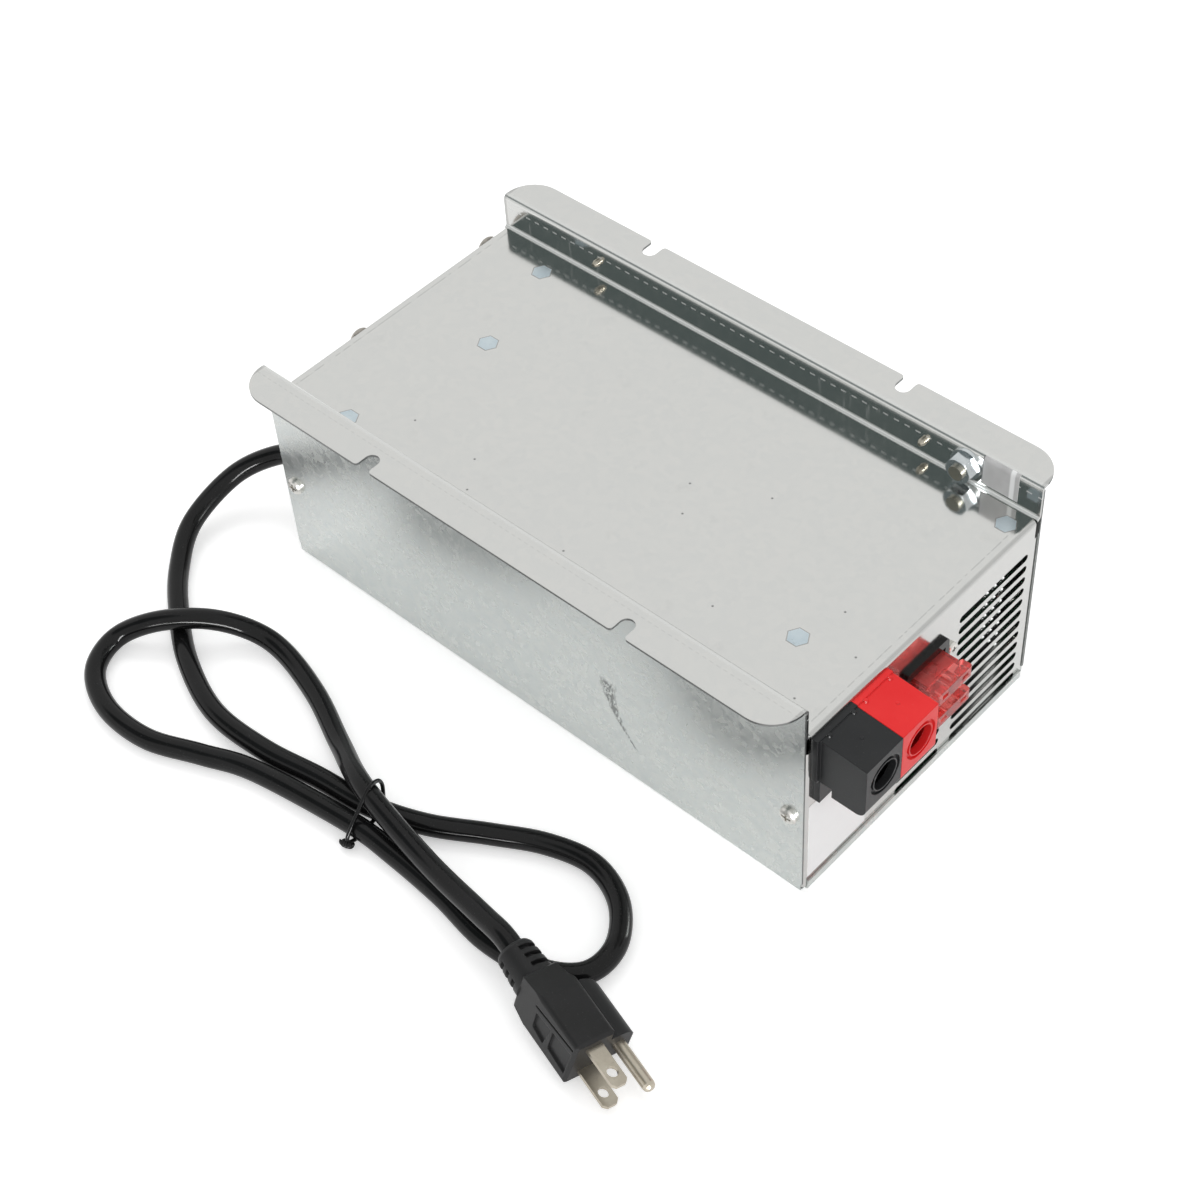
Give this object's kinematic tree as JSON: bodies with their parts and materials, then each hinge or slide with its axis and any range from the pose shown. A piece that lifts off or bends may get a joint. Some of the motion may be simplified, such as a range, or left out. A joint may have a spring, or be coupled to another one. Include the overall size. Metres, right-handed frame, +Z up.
{
  "type": "power converter charger",
  "caption": "Mains to low-voltage DC converter and battery charger in a folded sheet case with mounting flanges, fan, cord and plug, cable terminals and blade fuses.",
  "frame": {"origin": "centre of the bounding box without the cord, on the face of the cover that the case lies on", "axes": "+X towards the terminal and vent end, +Z up towards the mounting flanges, cord and plug on the -Y side"},
  "size_m": [0.3264, 0.2577, 0.1005],
  "materials": {
    "zinc_sheet": "galvanised, satin",
    "zinc_cover": "galvanised, mottled",
    "screw_steel": "bright plated",
    "blue_zinc": "blue zinc plated",
    "yellow_zinc": "yellow zinc plated",
    "board": "solder mask",
    "ferrite": "matt",
    "tape": "glossy tape",
    "capacitor_sleeve": "shrink sleeve",
    "heat_sink_alloy": "extruded",
    "black_resin": "matt",
    "copper": "enamelled wire and bare bars",
    "lead_sleeve": "insulation",
    "fan_plastic": "satin",
    "cord_jacket": "smooth and glossy",
    "plug_moulding": "satin",
    "plug_metal": "nickel plated",
    "black_cover": "satin",
    "red_cover": "satin",
    "lug_alloy": "tin plated",
    "fuse_plastic": "clear red plastic",
    "label": "blank film"
  },
  "bodies": {
    "converter": {"chassis": "zinc_sheet", "cover": "zinc_cover", "cover_screws": "screw_steel", "side_screws": "yellow_zinc", "board_standoffs": "blue_zinc", "board_screws": "screw_steel", "circuit_board": "board", "transformer_core": "ferrite", "transformer_winding": "tape", "input_capacitors": "capacitor_sleeve", "output_capacitors": "capacitor_sleeve", "heat_sinks": "heat_sink_alloy", "power_transistors": "black_resin", "output_choke": "copper", "line_choke": "copper", "bridge_rectifier": "black_resin", "control_board": "board", "mains_terminal_block": "black_resin", "mains_leads": "lead_sleeve", "fan_frame": "fan_plastic", "fan_stator": "copper", "fan_screws": "screw_steel", "fan_leads": "lead_sleeve", "cord_strain_relief": "plug_moulding", "power_cord": "cord_jacket", "cord_tie": "cord_jacket", "plug_body": "plug_moulding", "plug_blades": "plug_metal", "plug_ground_pin": "plug_metal", "negative_terminal_cover": "black_cover", "positive_terminal_cover": "red_cover", "terminal_block": "black_resin", "terminal_lugs": "lug_alloy", "lug_screws": "screw_steel", "busbars": "copper", "fuse_holder": "black_resin", "fuse_straps": "copper", "fuse_housings": "fuse_plastic", "fuse_elements": "plug_metal", "panel_screw": "screw_steel", "ground_bolt": "yellow_zinc", "ground_nut": "blue_zinc", "ground_label": "label", "panel_label": "label"},
    "fan": {"fan_rotor": "fan_plastic"}
  },
  "joints": [
    {"name": "fan_spin", "type": "hinge", "parent": "converter", "child": "fan", "pos_m": [-0.1167, 0.0185, 0.0433], "axis": [1, 0, 0], "continuous": true}
  ]
}
